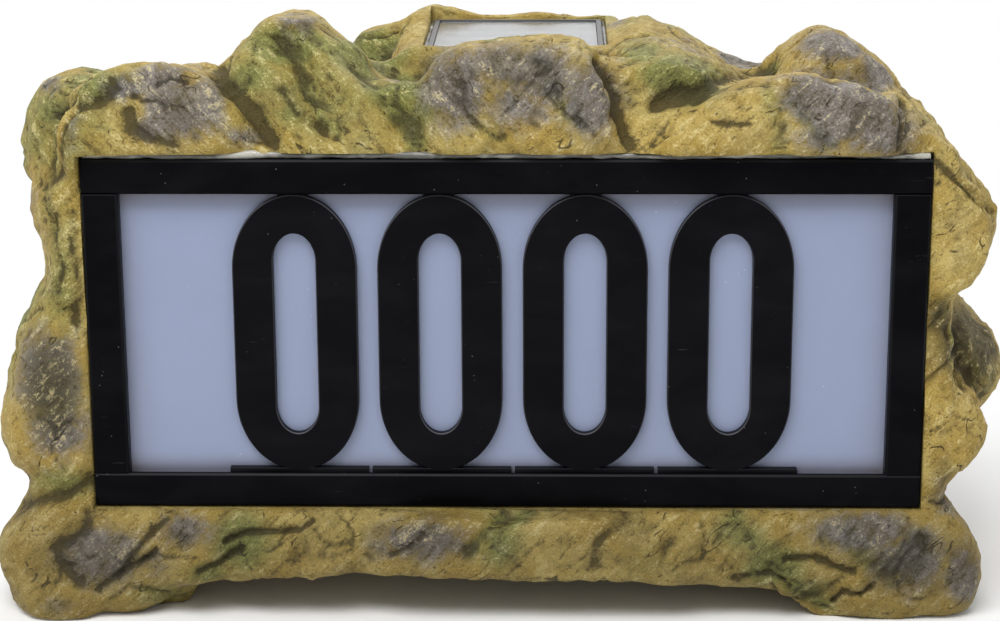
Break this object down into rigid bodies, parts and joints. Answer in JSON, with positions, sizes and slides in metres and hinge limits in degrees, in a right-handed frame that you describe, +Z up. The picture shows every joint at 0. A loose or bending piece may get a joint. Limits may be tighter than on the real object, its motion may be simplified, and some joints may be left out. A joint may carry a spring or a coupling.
{
  "type": "illuminated house number sign",
  "caption": "Solar-lit house number sign: a hollow cast rock with a framed diffuser window, sliding numeral tiles and a rear battery bay.",
  "frame": {"origin": "on the ground, under the middle of the bounding box", "axes": "+X to the right of someone reading the sign, +Y to its back, +Z up"},
  "size_m": [0.3704, 0.14, 0.2118],
  "materials": {
    "cast_rock": "painted resin stone, ochre with green and grey patches",
    "black_plastic": "satin black moulding",
    "numeral_plastic": "satin black moulding",
    "diffuser": "translucent white, faintly frosted",
    "white_plastic": "smooth white moulding",
    "clear_sealant": "cloudy clear sealant",
    "black_rubber": "matt rubber",
    "grey_plastic": "satin grey moulding",
    "solar_silicon": "dark silicon with fine conductor lines",
    "clear_resin": "clear glossy resin",
    "board_laminate": "green circuit board",
    "led_resin": "yellow phosphor resin",
    "component_resin": "black moulded components",
    "screw_steel": "plain steel",
    "nickel": "nickel-plated spring steel",
    "cell_wrap": "plain shrink wrap",
    "lead_jacket": "black lead jacket"
  },
  "bodies": {
    "root": {"rock_shell": "cast_rock", "frame_top_rail": "black_plastic", "frame_bottom_rail": "black_plastic", "frame_left_stile": "black_plastic", "frame_right_stile": "black_plastic", "frame_sealant": "clear_sealant", "diffuser_panel": "diffuser", "light_box": "white_plastic", "light_box_grommet": "black_rubber", "led_board": "board_laminate", "led_chips": "led_resin", "led_board_screws": "screw_steel", "solar_tray": "grey_plastic", "solar_cells": "solar_silicon", "solar_window": "clear_resin", "solar_sealant": "clear_sealant", "rear_plate": "black_plastic", "rear_gasket": "black_rubber", "rear_screws": "screw_steel", "door_hinge_pin": "screw_steel", "battery_1": "cell_wrap", "battery_2": "cell_wrap", "battery_contacts": "nickel", "control_board": "board_laminate", "board_parts": "component_resin", "board_screws": "screw_steel", "switch_body": "component_resin", "solar_lead": "lead_jacket", "led_lead": "lead_jacket"},
    "tile_1": {"digit_tile_1": "numeral_plastic"},
    "tile_2": {"digit_tile_2": "numeral_plastic"},
    "tile_3": {"digit_tile_3": "numeral_plastic"},
    "tile_4": {"digit_tile_4": "numeral_plastic"},
    "door": {"battery_door": "black_plastic"},
    "slider": {"switch_slider": "white_plastic"}
  },
  "joints": [
    {"name": "tile_1_slide", "type": "slide", "parent": "root", "child": "tile_1", "axis": [1, 0, 0], "range_m": [-0.0355, 0.0076]},
    {"name": "tile_2_slide", "type": "slide", "parent": "tile_1", "child": "tile_2", "axis": [1, 0, 0], "range_m": [-0.0011, 0.0076]},
    {"name": "tile_3_slide", "type": "slide", "parent": "tile_2", "child": "tile_3", "axis": [1, 0, 0], "range_m": [-0.0011, 0.0076]},
    {"name": "tile_4_slide", "type": "slide", "parent": "tile_3", "child": "tile_4", "axis": [1, 0, 0], "range_m": [-0.0011, 0.0076]},
    {"name": "door_hinge", "type": "hinge", "parent": "root", "child": "door", "pos_m": [-0.0135, 0.0643, 0.0782], "axis": [-1, 0, 0], "range_deg": [0, 100]},
    {"name": "switch_slide", "type": "slide", "parent": "root", "child": "slider", "axis": [1, 0, 0], "range_m": [0, 0.0036]}
  ]
}
